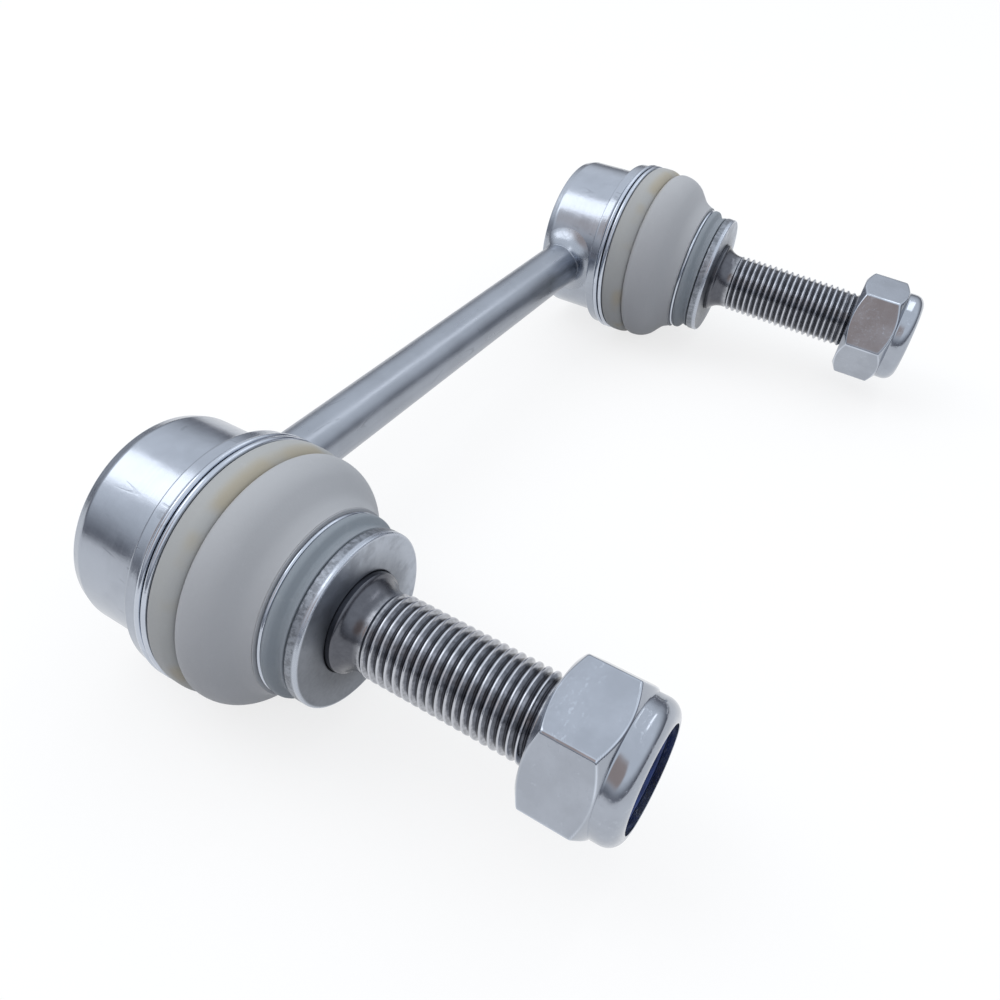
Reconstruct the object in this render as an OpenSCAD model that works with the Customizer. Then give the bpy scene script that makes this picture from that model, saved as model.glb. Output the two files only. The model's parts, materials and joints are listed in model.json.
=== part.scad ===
// Stabilizer link: a welded rod with a booted ball joint and a locknut at each end.
// Millimetres. The link lies as on a table, with the rod along X and the studs towards -Y.
// The near end is at -X and the far end at +X. The origin is under the middle of its box.
// Each end is modelled upright on the back of its housing and then laid down.

/* [Rod] */
// Distance between the axes of the two housings
link_length = 125; // [95:1:220]
// Diameter of the rod
rod_d = 9.1; // [7:0.1:9.6]
// Height of the rod's axis over the backs of the housings
rod_z = 5.7; // [5.2:0.1:7]
// Radius of the concave weld fillet between rod and housing
weld_r = 3; // [2:0.1:3.6]
// Gap between pieces that are welded or pressed together
joint_gap = 0.02; // [0.01:0.01:0.04]

/* [Housing] */
// Diameter of the housing's barrel
housing_d = 32; // [31:0.5:36]
// Bevel round the back edge of the barrel
back_bevel = 0.9; // [0.4:0.1:1.6]
// Diameter of the flange below the boot
flange_d = 36; // [35.4:0.2:40]
// Bevel on the flange's lower edge
flange_bevel = 0.3; // [0.1:0.1:0.6]
// Thickness of the flange
flange_t = 2; // [1:0.1:2.6]
// Depth of the boot's groove below the flange's edge
groove_depth = 2.8; // [2.5:0.1:3]
// Thickness of the boot's bead in its groove
bead_t = 2.1; // [1.9:0.1:2.3]
// Width of the boot's groove
groove_w = 2.4; // [2.3:0.1:3]
// Height of the rim that keeps the boot in its groove
rim_t = 0.7; // [0.5:0.1:1]
// How far the rim stands out over the groove
rim_step = 0.7; // [0.4:0.1:0.8]
// Thickness of the back lip rolled over the closing plate
lip_t = 0.6; // [0.4:0.1:0.9]
// Overlap of the rolled lip on the closing plate
lip_overlap = 0.8; // [0.5:0.1:1.2]
// Thickness of the closing plate
plate_t = 1.5; // [1:0.1:2]
// Depth of the dish in the closing plate
dish_depth = 0.5; // [0.3:0.1:0.8]
// Width of the flat rim round that dish
dish_rim = 2.5; // [1.5:0.1:4]
// Width of the ledge that the closing plate sits on
plate_ledge = 2.2; // [1.5:0.1:2.4]
// Thickness of the housing's mouth over the ball seat
mouth_t = 2.4; // [1.8:0.1:3]

/* [Ball joint] */
// Diameter of the ball
ball_d = 16; // [15:0.5:17]
// Width of the flat under the ball
ball_flat = 5.6; // [4:0.2:7]
// Running gap between ball and seat
seat_gap = 0.02; // [0.01:0.01:0.05]
// Wall of the ball seat at the ball's equator
seat_wall = 3.2; // [2.8:0.1:3.6]
// Floor of the ball seat under the ball
seat_floor = 0.6; // [0.4:0.1:1]
// Height of the ball seat over the ball's centre
seat_wrap = 4.5; // [4:0.1:5.5]
// Height over the ball's centre at which the seat opens out
seat_grip = 3.5; // [3:0.1:3.8]
// Diameter of the grease well in the floor of the seat
grease_well_d = 7; // [4:0.5:8]
// Largest lean of the stud from the housing's axis, degrees
max_lean = 25; // [15:1:25]
// Room between the leaning neck and the mouth
lean_gap = 0.5; // [0.4:0.1:0.8]

/* [Stud] */
// Diameter of the neck over the ball
neck_d = 9.2; // [8:0.2:9.6]
// Diameter of the collar that the boot's lip seals on
collar_d = 18; // [16:0.5:18.5]
// Height of the collar
collar_h = 4.9; // [4.5:0.1:6]
// Height of the washer's seat over the ball's centre
washer_seat_h = 22.7; // [22:0.1:26]
// Diameter of the stud's base in the washer
base_d = 14.4; // [13.6:0.2:15.6]
// Height that the base stands over the washer
base_stand = 0.7; // [0.5:0.1:1.5]
// Diameter of the plain relief under the thread
relief_d = 11.4; // [10:0.1:11.4]
// Radius of the fillet from the base to the relief
base_fillet = 3.6; // [2:0.1:4]
// Length from the base to the first full thread
relief_h = 3.1; // [3:0.1:6]
// Diameter of the stud's thread
thread_d = 12; // [11.6:0.1:12]
// Length of full thread for the arm that the stud is bolted to
grip_length = 24; // [18:0.5:26]
// Diameter of the lead thread at the tip
lead_d = 11.5; // [11:0.1:11.5]
// Length of the lead thread
lead_h = 8.4; // [7.6:0.2:8.8]
// Chamfer at the stud's tip
tip_chamfer = 1.2; // [0.6:0.1:1.6]

/* [Washer] */
// Diameter of the washer
washer_d = 25; // [22:0.2:28]
// Thickness of the washer
washer_t = 2.1; // [1.4:0.1:2.4]
// Rounded edge of the washer
washer_edge = 0.4; // [0.2:0.1:0.6]

/* [Boot] */
// How far the lower lobe stands out past the flange
low_lobe_out = 0.4; // [0:0.05:0.6]
// How far the upper lobe stands out past the flange
top_lobe_out = 0.1; // [0:0.05:0.6]
// How far the fold between the lobes lies inside the flange's edge
fold_in = 1; // [0.7:0.1:1.3]
// Wall of the boot
boot_wall = 1.5; // [1.2:0.1:1.6]
// Height of the lower lobe over the ring
low_lobe_h = 4.1; // [3.6:0.1:5]
// Height of the curl at the foot of the upper lobe
curl_h = 1.4; // [1:0.1:2]
// Angle at which that curl runs into the shoulder, degrees
curl_angle = 15; // [5:1:25]
// Radius of the upper lobe's shoulder
shoulder_r = 5; // [3.5:0.1:5.4]
// Angle at which the shoulder runs out into a straight flank, degrees
shoulder_angle = 45; // [35:1:50]
// Room between the boot and the housing's rim
rim_room = 0.3; // [0.2:0.05:0.35]
// Gap between the boot and the metal that it seals on
boot_gap = 0.05; // [0.03:0.01:0.1]
// Bevel at the top of the boot's lip
lip_bevel = 0.4; // [0.2:0.1:0.8]
// Diameter at the top of the boot's lip
lip_top_d = 24.8; // [22:0.2:25]
// Height of the bead on the boot's lip over the neck ring
lip_bead_h = 0.9; // [0.6:0.1:1.2]
// Depth of the hollow between that bead and the top of the lip
lip_hollow = 0.4; // [0.2:0.1:0.6]
// Diameter of the boot's lip at the neck ring
lip_low_d = 26.4; // [26:0.2:27]

/* [Rings] */
// Wire of the ring that clamps the boot to the housing
ring_wire = 1.05; // [0.9:0.05:1.1]
// How far the two turns of the clamp ring press into each other
ring_press = 0.05; // [0.02:0.01:0.1]
// Wire of the ring round the boot's neck
neck_wire = 0.7; // [0.6:0.05:1]
// Depth of the boot's groove under the neck ring
neck_ring_sink = 0.8; // [0.5:0.1:0.8]
// Distance of the neck ring under the washer
neck_ring_drop = 3.4; // [3:0.1:3.6]

/* [Nut] */
// Width across the nut's flats
nut_af = 19; // [18:0.5:21]
// Height of the nut
nut_h = 12.7; // [12.5:0.1:14.5]
// Height of the hexagon
hex_h = 9.2; // [8:0.1:9.8]
// Inset of the chamfers from the flats at the hexagon's faces
nut_face_inset = 0.3; // [0.1:0.1:0.6]
// Angle of the chamfer at the hexagon's bearing face, degrees
low_chamfer_angle = 30; // [20:1:45]
// Angle of the chamfer under the collar, degrees
top_chamfer_angle = 36; // [30:1:50]
// Chamfer of the nut's thread at its bearing face
nut_lead = 0.7; // [0.4:0.1:1]
// Running gap of the nut on the thread
thread_gap = 0.06; // [0.04:0.01:0.08]
// Width of the nylon insert between thread and collar
nylon_w = 2.04; // [1.6:0.02:2.1]
// Wall of the collar round the nylon insert
nut_wall = 1.05; // [0.9:0.05:1.2]
// Height of the nylon insert
nylon_h = 3; // [2.4:0.1:3.2]
// Gap round the nylon insert
nylon_gap = 0.05; // [0.03:0.01:0.08]
// Metal rolled over the nylon insert
nut_roll_t = 0.9; // [0.6:0.1:1]
// Room between the thread and the opening in the rolled top of the nut
nut_mouth_gap = 0.9; // [0.5:0.1:1.1]
// Flat round that opening
nut_top_flat = 0.1; // [0.05:0.05:0.3]
// Distance from the full thread to the near nut
near_nut_gap = 1.2; // [0.4:0.1:2]
// Distance from the full thread to the far nut
far_nut_gap = 2.7; // [0.4:0.1:3]
// Turn of the near nut about its stud, degrees
near_nut_turn = 10; // [0:1:59]
// Turn of the far nut about its stud, degrees
far_nut_turn = 0; // [0:1:59]

/* [Lean] */
// Lean of the far stud from its housing's axis, degrees
far_lean = 6.4; // [0:0.1:15]
// Direction that the far stud leans to, from +X towards +Z, degrees
far_lean_dir = 322; // [0:1:359]

/* [Hidden] */
$fn = 96;
boot_sides = 40;
arc_steps = 6;
NEAR = -1;
FAR = 1;

rod_r = rod_d / 2;
housing_r = housing_d / 2;
ball_r = ball_d / 2;
neck_r = neck_d / 2;
collar_r = collar_d / 2;
thread_r = thread_d / 2;

// Heights in the housing, from its back
plate_z = lip_t;
seat_z = plate_z + plate_t;
ball_z = seat_z + seat_floor + seat_gap + ball_r;
seat_top_z = ball_z + seat_wrap;
housing_top_z = seat_top_z + mouth_t;
rim_z = housing_top_z - rim_t;
groove_z = rim_z - groove_w;
flange_z = groove_z - flange_t;

// Radii in the housing
seat_r = ball_r + seat_wall;
plate_r = seat_r + plate_ledge;
lip_r = plate_r - lip_overlap;
groove_r = flange_d / 2 - groove_depth;
rim_r = groove_r + rim_step;

// Heights on an upright stud
washer_z = ball_z + washer_seat_h;
collar_z = washer_z - collar_h;
washer_top_z = washer_z + washer_t;
base_top_z = washer_top_z + base_stand;
thread_z = base_top_z + relief_h;
lead_z = thread_z + grip_length;
tip_z = lead_z + lead_h;

// Clamp ring, with its turns a little into each other so that the ring is one wire
ring_pitch = ring_wire - ring_press;
bead_r = groove_r + boot_gap + bead_t;
ring_r = bead_r + boot_gap + ring_wire / 2;
ring_z = groove_z + boot_gap + ring_wire / 2;
ring_top_z = ring_z + ring_pitch + ring_wire / 2;

// Neck ring, in its groove near the foot of the boot's lip
neck_ring_z = washer_z - neck_ring_drop;
neck_groove_r = lip_low_d / 2 - neck_ring_sink;
neck_ring_r = neck_groove_r + boot_gap + neck_wire / 2;
neck_foot_z = neck_ring_z - neck_wire / 2 - boot_gap;
neck_head_z = neck_ring_z + neck_wire / 2 + boot_gap;

// Where the link lies: its clamp rings touch the table, and its depth is centred
lay_z = ring_r + ring_wire / 2;
nut_mouth_r = thread_r + nut_mouth_gap;
nut_top_r = nut_mouth_r + nut_top_flat;
near_top_z = lead_z + near_nut_gap + nut_h;
far_top_h = lead_z + far_nut_gap + nut_h - ball_z;
far_top_z = ball_z + far_top_h * cos(far_lean) + nut_top_r * sin(far_lean);
lay_y = max(near_top_z, far_top_z) / 2;

// Nut radii, and heights from its bearing face
nut_bore_r = thread_r + thread_gap;
nylon_r = nut_bore_r + nylon_w;
nut_collar_r = nylon_r + nylon_gap + nut_wall;
nut_round = nut_collar_r - nut_top_r;
nylon_z = nut_h - nut_roll_t - nylon_gap - nylon_h;
nut_corner_r = nut_af / sqrt(3);
nut_face_r = nut_af / 2 - nut_face_inset;
hex_limit_r = nut_corner_r + 1;
low_chamfer = (hex_limit_r - nut_face_r) * tan(low_chamfer_angle);
top_chamfer = (hex_limit_r - nut_face_r) * tan(top_chamfer_angle);

// Radius that the neck needs at a height over the ball's centre when it leans fully
function lean_room(h) = h * tan(max_lean) + neck_r / cos(max_lean) + lean_gap;

// Points of an elliptic arc in the plane of radius and height
function arc(centre_r, centre_z, half_r, half_z, from, to) = [
    for (i = [0 : arc_steps])
        let (a = from + (to - from) * i / arc_steps)
            [centre_r + half_r * cos(a), centre_z + half_z * sin(a)]
];

// Boot heights: foot of the lower lobe, fold, and widest line of the upper lobe
low_lobe_z = ring_top_z + 2 * boot_gap;
lip_top_z = washer_z - boot_gap;
fold_z = low_lobe_z + low_lobe_h;
top_lobe_z = fold_z + curl_h;
low_lobe_r = flange_d / 2 + low_lobe_out;
top_lobe_r = flange_d / 2 + top_lobe_out;
fold_r = flange_d / 2 - fold_in;
foot_h = low_lobe_h / 4;
low_curl_z = fold_z - 2 * foot_h;
lip_low_r = lip_low_d / 2;
lip_bead_z = neck_head_z + lip_bead_h;
lip_hollow_z = (lip_bead_z + lip_top_z - lip_bevel) / 2;
shoulder_centre_r = top_lobe_r - shoulder_r;
inner_shoulder_r = shoulder_r - boot_wall;

// Outline of the boot, up the outside from the bead and down the inside
boot_outside = concat(
    [[bead_r, groove_z + boot_gap], [bead_r, low_lobe_z]],
    arc(bead_r, low_lobe_z + foot_h, low_lobe_r - bead_r, foot_h, -80, 0),
    arc(fold_r, low_curl_z, low_lobe_r - fold_r, 2 * foot_h - boot_gap, 0, 90),
    arc(fold_r, top_lobe_z, top_lobe_r - fold_r, curl_h, -90, -curl_angle),
    arc(shoulder_centre_r, top_lobe_z, shoulder_r, shoulder_r, 0, shoulder_angle),
    [[lip_low_r, neck_foot_z], [neck_groove_r, neck_foot_z]],
    [[neck_groove_r, neck_head_z], [lip_low_r, neck_head_z]],
    [[lip_low_r, lip_bead_z], [lip_top_d / 2 - lip_hollow, lip_hollow_z]],
    [[lip_top_d / 2, lip_top_z - lip_bevel], [lip_top_d / 2 - lip_bevel, lip_top_z]]
);
boot_inside = concat(
    [[collar_r + boot_gap, lip_top_z], [collar_r + boot_gap, collar_z + lip_bevel]],
    [[lip_low_r - boot_wall, neck_foot_z - boot_wall]],
    arc(shoulder_centre_r, top_lobe_z, inner_shoulder_r, inner_shoulder_r, shoulder_angle, 0),
    arc(fold_r - boot_wall, top_lobe_z, top_lobe_r - fold_r, curl_h, -curl_angle, -90),
    arc(fold_r - boot_wall, low_curl_z, low_lobe_r - fold_r, 2 * foot_h - boot_gap, 90, 0),
    [[rim_r + 2 * rim_room, housing_top_z], [rim_r + rim_room, rim_z - boot_gap]],
    [[groove_r + boot_gap, rim_z - boot_gap], [groove_r + boot_gap, groove_z + boot_gap]]
);
boot_outline = concat(boot_outside, boot_inside);

// Share of the lean that reaches a height in the boot: none at the ring, all at the neck
function lean_share(z) =
    let (t = min(1, max(0, (z - ring_top_z) / (neck_foot_z - ring_top_z))))
        t * t * (3 - 2 * t);

// A point turned about the horizontal lean axis through the ball's centre
function leaned(p, lean, dir) =
    let (along = p[0] * cos(dir) + p[1] * sin(dir))
    let (across = p[1] * cos(dir) - p[0] * sin(dir))
    let (up = p[2] - ball_z)
    let (turned = along * cos(lean) + up * sin(lean))
    let (height = up * cos(lean) - along * sin(lean))
        [
            turned * cos(dir) - across * sin(dir),
            turned * sin(dir) + across * cos(dir),
            ball_z + height
        ];

function end_lean(side) = side == NEAR ? 0 : far_lean;

// Axis of one housing, at its back: upright Z turns to -Y and upright Y to Z
module at_housing(side) {
    translate([side * link_length / 2, lay_y, lay_z])
        rotate([90, 0, 0])
            children();
}

// Space that one housing's barrel takes out of the rod and the weld
module barrel_cut(side) {
    at_housing(side)
        translate([0, 0, -1])
            cylinder(r = housing_r + joint_gap, h = housing_top_z + 2);
}

// Frame of one stud: upright about its housing's axis, then leaned about the ball's centre
module at_stud(side) {
    at_housing(side)
        translate([0, 0, ball_z])
            rotate(a = end_lean(side), v = [-sin(far_lean_dir), cos(far_lean_dir), 0])
                translate([0, 0, -ball_z])
                    children();
}

// Nut on its stud, at the distance and turn that it was left at
module at_nut(side) {
    gap = side == NEAR ? near_nut_gap : far_nut_gap;
    turn = side == NEAR ? near_nut_turn : far_nut_turn;
    at_stud(side)
        translate([0, 0, lead_z + gap])
            rotate(turn)
                children();
}

// Straight rod, its ends cut to the housings' barrels
module rod() {
    color("lightsteelblue")
        difference() {
            translate([-link_length / 2, lay_y - rod_z, lay_z])
                rotate([0, 90, 0])
                    cylinder(r = rod_r, h = link_length);
            for (side = [NEAR, FAR])
                barrel_cut(side);
        }
}

// Weld bead that runs out concave on the rod and on the barrel, cut level with the back and the flange
module weld(side) {
    reach = housing_r + weld_r;
    color("silver")
        difference() {
            at_housing(side)
                translate([0, 0, rod_z])
                    rotate([0, -side * 90, 0])
                        rotate_extrude()
                            weld_section(reach);
            barrel_cut(side);
            at_housing(side)
                for (z = [joint_gap - housing_d, flange_z - joint_gap])
                    translate([-housing_d, -housing_d, z])
                        cube([2 * housing_d, 2 * housing_d, housing_d]);
        }
}

// Section of the weld about the rod's axis
module weld_section(reach) {
    difference() {
        translate([rod_r + joint_gap, 0])
            square([weld_r, reach]);
        translate([rod_r + joint_gap + weld_r, reach])
            circle(r = weld_r);
    }
}

// Barrel with a flange and boot groove on top, a seat bore, and a lip rolled over the plate
module housing(side) {
    color("lightsteelblue")
        at_housing(side)
            rotate_extrude()
                difference() {
                    housing_outside();
                    housing_inside();
                }
}

module housing_outside() {
    polygon([
        [0, 0],
        [housing_r - back_bevel, 0],
        [housing_r, back_bevel],
        [housing_r, flange_z],
        [flange_d / 2 - flange_bevel, flange_z],
        [flange_d / 2, flange_z + flange_bevel],
        [flange_d / 2, groove_z],
        [groove_r, groove_z],
        [groove_r, rim_z],
        [rim_r, rim_z],
        [rim_r, housing_top_z],
        [0, housing_top_z]
    ]);
}

module housing_inside() {
    translate([0, -1])
        square([lip_r, plate_z + 2]);
    translate([0, plate_z])
        square([plate_r, plate_t]);
    translate([0, seat_z - 1])
        square([seat_r, seat_wrap + ball_z - seat_z + 1]);
    polygon([
        [0, seat_top_z - 1],
        [lean_room(seat_wrap), seat_top_z - 1],
        [lean_room(seat_wrap), seat_top_z],
        [lean_room(seat_wrap + mouth_t + 1), housing_top_z + 1],
        [0, housing_top_z + 1]
    ]);
}

// Pressed disc that closes the back, dished inside the rolled lip
module closing_plate(side) {
    dish_r = lip_r - dish_rim;
    color("gainsboro")
        at_housing(side)
            translate([0, 0, plate_z])
                rotate_extrude()
                    polygon([
                        [0, dish_depth],
                        [dish_r - dish_depth, dish_depth],
                        [dish_r, 0],
                        [plate_r - joint_gap, 0],
                        [plate_r - joint_gap, plate_t],
                        [0, plate_t]
                    ]);
}

// Plastic cup round the ball, with a grease well below and a mouth that clears the neck
module ball_seat(side) {
    color("ivory")
        at_housing(side)
            difference() {
                translate([0, 0, seat_z])
                    cylinder(r = seat_r - joint_gap, h = seat_top_z - seat_z);
                translate([0, 0, ball_z])
                    sphere(r = ball_r + seat_gap);
                translate([0, 0, seat_z - 1])
                    cylinder(d = grease_well_d, h = ball_r);
                translate([0, 0, ball_z + seat_grip])
                    cylinder(
                        r1 = lean_room(seat_grip),
                        r2 = lean_room(seat_wrap + 1),
                        h = seat_wrap + 1 - seat_grip
                    );
            }
}

// Two turns of wire that clamp the boot's bead in its groove
module boot_ring(side) {
    color("silver")
        at_housing(side)
            rotate_extrude()
                for (turn = [0, 1])
                    translate([ring_r, ring_z + turn * ring_pitch])
                        circle(d = ring_wire);
}

// Rubber boot: a bead, two lobes with a fold between them, and a lip on the stud's collar
module boot(side) {
    color("whitesmoke")
        at_housing(side)
            if (end_lean(side) == 0)
                rotate_extrude()
                    polygon(boot_outline);
            else
                leaning_boot(end_lean(side), far_lean_dir);
}

// The same outline carried round in steps, each point leaned by its share
module leaning_boot(lean, dir) {
    count = len(boot_outline);
    points = [
        for (i = [0 : boot_sides - 1], p = boot_outline)
            let (a = 360 * i / boot_sides)
                leaned([p[0] * cos(a), p[0] * sin(a), p[1]], lean * lean_share(p[1]), dir)
    ];
    faces = [
        for (i = [0 : boot_sides - 1], j = [0 : count - 1])
            let (here = i * count)
            let (next = (i + 1) % boot_sides * count)
            let (k = (j + 1) % count)
                each [
                    [here + j, here + k, next + k],
                    [here + j, next + k, next + j]
                ]
    ];
    polyhedron(points = points, faces = faces);
}

// Wire ring that holds the boot's lip on the collar
module neck_ring(side) {
    color("silver")
        at_stud(side)
            rotate_extrude()
                translate([neck_ring_r, neck_ring_z])
                    circle(d = neck_wire);
}

// Ball, neck, boot collar, washer base, relief, thread and lead in one turned piece
module ball_stud(side) {
    color("dimgray")
        at_stud(side)
            union() {
                difference() {
                    translate([0, 0, ball_z])
                        sphere(r = ball_r);
                    translate([0, 0, ball_z - ball_r - sqrt(ball_r * ball_r - ball_flat * ball_flat / 4)])
                        cylinder(r = ball_r, h = ball_r);
                }
                rotate_extrude()
                    stud_section();
            }
}

// Half section of the stud over the ball's centre
module stud_section() {
    flare_r = collar_r - neck_r;
    fillet_drop = base_fillet - (base_d - relief_d) / 2;
    fillet_h = sqrt(base_fillet * base_fillet - fillet_drop * fillet_drop);
    difference() {
        union() {
            translate([0, ball_z])
                square([neck_r, collar_z - ball_z]);
            translate([0, collar_z - flare_r])
                square([collar_r, flare_r + collar_h]);
        }
        translate([collar_r, collar_z - flare_r])
            circle(r = flare_r);
    }
    square_step(base_d / 2, washer_z - 1, base_top_z);
    difference() {
        square_step(base_d / 2, base_top_z - 1, base_top_z + fillet_h);
        translate([relief_d / 2 + base_fillet, base_top_z + fillet_h])
            circle(r = base_fillet);
    }
    square_step(relief_d / 2, base_top_z, thread_z);
    square_step(thread_r, thread_z, lead_z);
    polygon([
        [0, lead_z - 1],
        [lead_d / 2, lead_z - 1],
        [lead_d / 2, tip_z - tip_chamfer],
        [lead_d / 2 - tip_chamfer, tip_z],
        [0, tip_z]
    ]);
}

// One plain step of a half section
module square_step(r, from, to) {
    translate([0, from])
        square([r, to - from]);
}

// Thick washer pressed over the stud's base, its edges rounded by punching
module washer(side) {
    color("lightsteelblue")
        at_stud(side)
            rotate_extrude()
                difference() {
                    union() {
                        translate([0, washer_z])
                            square([washer_d / 2 - washer_edge, washer_t]);
                        translate([0, washer_z + washer_edge])
                            square([washer_d / 2, washer_t - 2 * washer_edge]);
                        for (z = [washer_z + washer_edge, washer_top_z - washer_edge])
                            translate([washer_d / 2 - washer_edge, z])
                                circle(r = washer_edge);
                    }
                    translate([0, washer_z - 1])
                        square([base_d / 2 + joint_gap, washer_t + 2]);
                }
}

// Nylon ring that grips the thread, shut in the top of the nut
module nylon_insert(side) {
    color("navy")
        at_nut(side)
            translate([0, 0, nylon_z])
                rotate_extrude()
                    translate([nut_bore_r, 0])
                        square([nylon_r - nut_bore_r, nylon_h]);
}

// Hexagon with chamfered corners, and a collar rolled over the nylon insert
module nut(side) {
    color("lightsteelblue")
        at_nut(side)
            difference() {
                union() {
                    intersection() {
                        cylinder(r = nut_corner_r, h = hex_h, $fn = 6);
                        rotate_extrude()
                            hex_limit();
                    }
                    rotate_extrude()
                        nut_collar();
                }
                translate([0, 0, -1])
                    cylinder(r = nut_bore_r, h = nut_h);
                translate([0, 0, -nut_lead])
                    cylinder(r1 = nut_bore_r + 2 * nut_lead, r2 = nut_bore_r, h = 2 * nut_lead);
                translate([0, 0, nylon_z - nylon_gap])
                    cylinder(r = nylon_r + nylon_gap, h = nylon_h + 2 * nylon_gap);
                translate([0, 0, nylon_z])
                    cylinder(r = nut_mouth_r, h = nut_h);
            }
}

// Half section that chamfers the hexagon's corners at both faces
module hex_limit() {
    polygon([
        [0, 0],
        [nut_face_r, 0],
        [hex_limit_r, low_chamfer],
        [hex_limit_r, hex_h - top_chamfer],
        [nut_face_r, hex_h],
        [0, hex_h]
    ]);
}

// Half section of the collar, with a rounded shoulder
module nut_collar() {
    square([nut_top_r, nut_h]);
    square([nut_collar_r, nut_h - nut_round]);
    translate([nut_top_r, nut_h - nut_round])
        circle(r = nut_round);
}

rod();
weld(NEAR);  // near_weld
weld(FAR);  // far_weld
housing(NEAR);  // near_housing
housing(FAR);  // far_housing
closing_plate(NEAR);  // near_closing_plate
closing_plate(FAR);  // far_closing_plate
ball_seat(NEAR);  // near_ball_seat
ball_seat(FAR);  // far_ball_seat
boot_ring(NEAR);  // near_boot_ring
boot_ring(FAR);  // far_boot_ring
boot(NEAR);  // near_boot
boot(FAR);  // far_boot
neck_ring(NEAR);  // near_neck_ring
neck_ring(FAR);  // far_neck_ring
ball_stud(NEAR);  // near_ball_stud
ball_stud(FAR);  // far_ball_stud
washer(NEAR);  // near_washer
washer(FAR);  // far_washer
nylon_insert(NEAR);  // near_nylon_insert
nylon_insert(FAR);  // far_nylon_insert
nut(NEAR);  // near_nut
nut(FAR);  // far_nut
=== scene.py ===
"""Stabilizer link with booted ball joints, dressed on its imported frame.

Every piece is a surface worked out on a grid: a half section turned about the axis of its own end,
or a wire carried along a path. Heights are measured from the ball's centre towards the stud's tip.
"""

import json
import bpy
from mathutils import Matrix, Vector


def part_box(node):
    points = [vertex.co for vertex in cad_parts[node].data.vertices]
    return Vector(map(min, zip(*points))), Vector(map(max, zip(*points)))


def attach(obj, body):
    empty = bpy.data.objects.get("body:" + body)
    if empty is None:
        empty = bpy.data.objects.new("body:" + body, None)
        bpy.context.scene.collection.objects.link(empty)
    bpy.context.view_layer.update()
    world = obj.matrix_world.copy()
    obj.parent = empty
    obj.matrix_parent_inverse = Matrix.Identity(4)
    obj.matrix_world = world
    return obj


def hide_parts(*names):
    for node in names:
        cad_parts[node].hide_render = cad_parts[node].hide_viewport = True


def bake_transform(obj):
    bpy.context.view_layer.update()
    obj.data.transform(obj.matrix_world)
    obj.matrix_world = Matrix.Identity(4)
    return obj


bl_info = {
    "name": "Stabilizer Link",
    "version": (1, 0, 0),
    "blender": (4, 5, 0),
    "location": "View3D > Sidebar > Link",
    "description": "Dresses a stabilizer link's frame with turned, threaded and moulded pieces",
    "category": "Object",
}

from collections import namedtuple

import bpy
import numpy as np
from mathutils import Matrix

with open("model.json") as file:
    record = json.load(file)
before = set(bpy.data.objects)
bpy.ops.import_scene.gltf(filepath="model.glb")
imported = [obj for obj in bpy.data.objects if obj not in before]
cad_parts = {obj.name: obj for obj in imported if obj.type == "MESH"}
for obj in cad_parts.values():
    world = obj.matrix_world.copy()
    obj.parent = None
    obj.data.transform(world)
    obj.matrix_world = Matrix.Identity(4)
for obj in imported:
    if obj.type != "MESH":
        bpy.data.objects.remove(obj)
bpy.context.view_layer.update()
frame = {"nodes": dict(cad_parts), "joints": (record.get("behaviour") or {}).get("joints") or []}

MM = 0.001
ENDS = ("near", "far")
JOINTS = {joint["name"]: joint for joint in frame["joints"]}
ROD_WAY = np.array([1.0, 0.0, 0.0])
TURN = 2 * np.pi

# Half the flats on the thread's crests and in its roots, and its depth, as shares of the pitch.
CREST = 0.07
ROOT = 0.06
THREAD_SHARE = 0.52
# Gap between the stud's thread and the bores of nut and insert.
BORE_GAP = 0.06 * MM

# Columns round a piece.
COARSE, MEDIUM, FINE, NUT_COLUMNS = 96, 160, 192, 240

# Bounds of steps over the middle of a noise.
NOISE_MID = (0.35, 0.65)
NOISE_WIDE = (0.3, 0.7)

SENSOR = 36
WHITE = (1, 1, 1)

Reach = namedtuple("Reach", "low high radius")
Place = namedtuple("Place", "origin axes")


def reach(node):
    """Lowest and highest height of a near node along its end's axis, and half its width along the
    rod."""
    low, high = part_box(node)
    ball = JOINTS["near_ball_swivel"]["pos_m"][1]
    return Reach(ball - high.y, ball - low.y, (high.x - low.x) / 2)


HOUSING, PLATE, SEAT, RING, BOOT, NECK_RING, STUD, WASHER, NYLON, NUT = (
    reach("near_" + node)
    for node in ("housing", "closing_plate", "ball_seat", "boot_ring", "boot", "neck_ring",
                 "ball_stud", "washer", "nylon_insert", "nut")
)


def length(name, description, millimetres):
    """A size that a user may change, kept in metres."""
    return bpy.props.FloatProperty(
        name=name, description=description, default=millimetres * MM, unit="LENGTH", precision=5
    )


def angle(name, description, degrees):
    """An angle that a user may change."""
    return bpy.props.FloatProperty(
        name=name, description=description, default=np.radians(degrees), subtype="ANGLE"
    )


def colour(name, description, rgb):
    """A linear colour that a user may change."""
    return bpy.props.FloatVectorProperty(
        name=name, description=description, default=rgb, subtype="COLOR", size=3, min=0.0, max=1.0
    )


def vector(name, description, subtype, value):
    """A place or direction that a user may change."""
    return bpy.props.FloatVectorProperty(
        name=name, description=description, default=value, subtype=subtype, size=3
    )


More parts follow.
